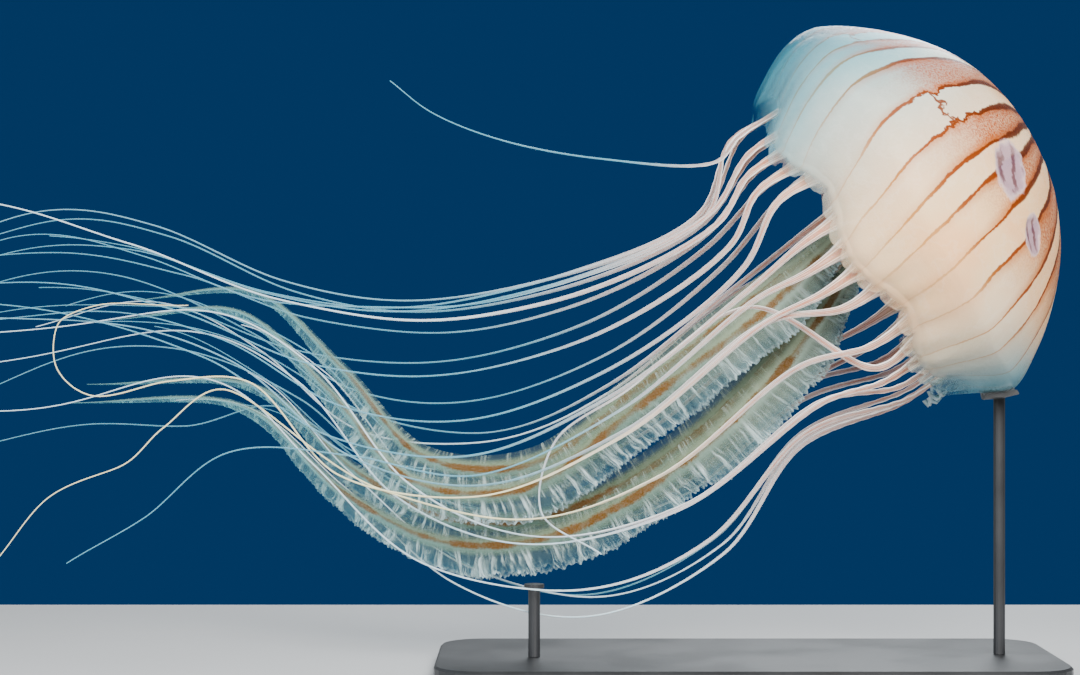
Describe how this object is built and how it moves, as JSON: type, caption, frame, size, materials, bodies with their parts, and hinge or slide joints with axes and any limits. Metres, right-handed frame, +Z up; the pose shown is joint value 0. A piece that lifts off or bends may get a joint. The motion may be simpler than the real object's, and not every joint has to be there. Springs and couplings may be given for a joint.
{
  "type": "sea nettle jellyfish",
  "caption": "Life-size sea nettle jellyfish in a swimming pose, with striped bell, ruffled oral arms and long trailing tentacles, on a plain display stand.",
  "frame": {"origin": "the centre of the stand base's underside, on the floor", "axes": "+X runs along the animal from its trailing tentacles to its bell, +Z is up, and Y is its width, with the side that the picture shows at -Y"},
  "size_m": [0.8728, 0.3047, 0.437],
  "materials": {
    "bell": "clear milky jelly with a smooth wet surface and red-brown stripes",
    "margin": "thin clear grey jelly flaps with a smooth wet surface",
    "arm": "pale ruffled jelly, see-through at the hems, with an orange-brown midrib",
    "tentacle": "clear whitish jelly ribbons and threads with an orange-pink middle line",
    "stand": "satin dark grey paint"
  },
  "bodies": {
    "root": {"bell_crown": "bell", "bell_wall": "bell", "bell_margin": "margin", "manubrium": "arm", "oral_arm_front_upper_upper": "arm", "oral_arm_front_upper_middle": "arm", "oral_arm_front_upper_lower": "arm", "oral_arm_front_lower_upper": "arm", "oral_arm_front_lower_middle": "arm", "oral_arm_front_lower_lower": "arm", "oral_arm_back_upper_upper": "arm", "oral_arm_back_upper_middle": "arm", "oral_arm_back_upper_lower": "arm", "oral_arm_back_lower_upper": "arm", "oral_arm_back_lower_middle": "arm", "oral_arm_back_lower_lower": "arm", "octant_1": "tentacle", "octant_2": "tentacle", "octant_3": "tentacle", "octant_4": "tentacle", "octant_5": "tentacle", "octant_6": "tentacle", "octant_7": "tentacle", "octant_8": "tentacle", "tentacle_01": "tentacle", "tentacle_02": "tentacle", "tentacle_03": "tentacle", "tentacle_04": "tentacle", "tentacle_05": "tentacle", "tentacle_06": "tentacle", "tentacle_07": "tentacle", "tentacle_08": "tentacle", "tentacle_09": "tentacle", "tentacle_10": "tentacle", "tentacle_11": "tentacle", "tentacle_12": "tentacle", "tentacle_13": "tentacle", "tentacle_14": "tentacle", "tentacle_15": "tentacle", "tentacle_16": "tentacle", "tentacle_17": "tentacle", "tentacle_18": "tentacle", "tentacle_19": "tentacle", "tentacle_20": "tentacle", "tentacle_21": "tentacle", "tentacle_22": "tentacle", "tentacle_23": "tentacle", "tentacle_24": "tentacle", "tentacle_25": "tentacle", "tentacle_26": "tentacle", "tentacle_27": "tentacle", "tentacle_28": "tentacle", "tentacle_29": "tentacle", "tentacle_30": "tentacle", "tentacle_31": "tentacle", "tentacle_32": "tentacle", "stand_base": "stand", "stand_rod_bell": "stand", "stand_rod_arms": "stand"}
  },
  "joints": []
}
